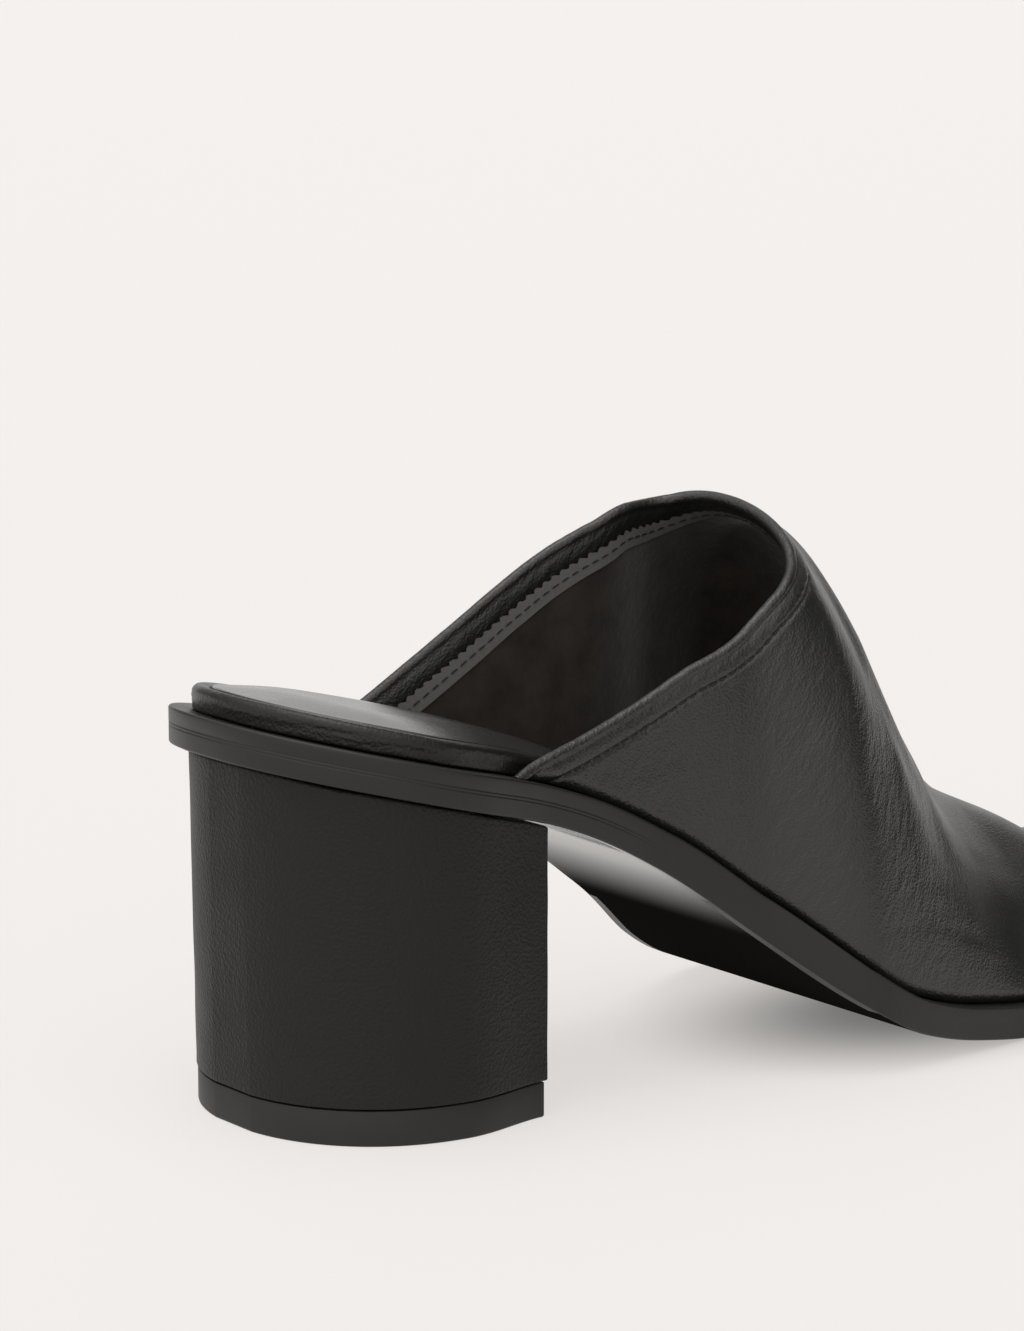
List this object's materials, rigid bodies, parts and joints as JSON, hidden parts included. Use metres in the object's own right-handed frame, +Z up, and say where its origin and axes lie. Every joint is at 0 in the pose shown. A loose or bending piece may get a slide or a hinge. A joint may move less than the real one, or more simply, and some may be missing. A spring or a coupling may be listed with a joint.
{
  "type": "block heel mule",
  "caption": "Backless slip-on mule with a wrapped block heel, closed leather upper, banded slanting collar and cushioned footbed.",
  "frame": {"origin": "middle of the plan of the shoe, on the floor that it stands on", "axes": "+Z up, +Y towards the heel's back, so the toe points along -Y; the outer side is at -X"},
  "size_m": [0.086, 0.229, 0.1005],
  "materials": {
    "sole": "satin moulded edge, charcoal black",
    "heel_wrap": "fine pebbled leather wrap, soft sheen, black",
    "top_piece": "smooth matte lift, black",
    "footbed_wrap": "smooth leather wrapped over the rim, fine wrinkles, black",
    "sock": "smooth padded leather sock, black",
    "upper": "soft fine-grained nappa, black"
  },
  "bodies": {
    "root": {"outsole": "sole", "heel_block": "heel_wrap", "top_piece": "top_piece", "footbed": "footbed_wrap", "insole_sock": "sock", "upper": "upper"}
  },
  "joints": []
}
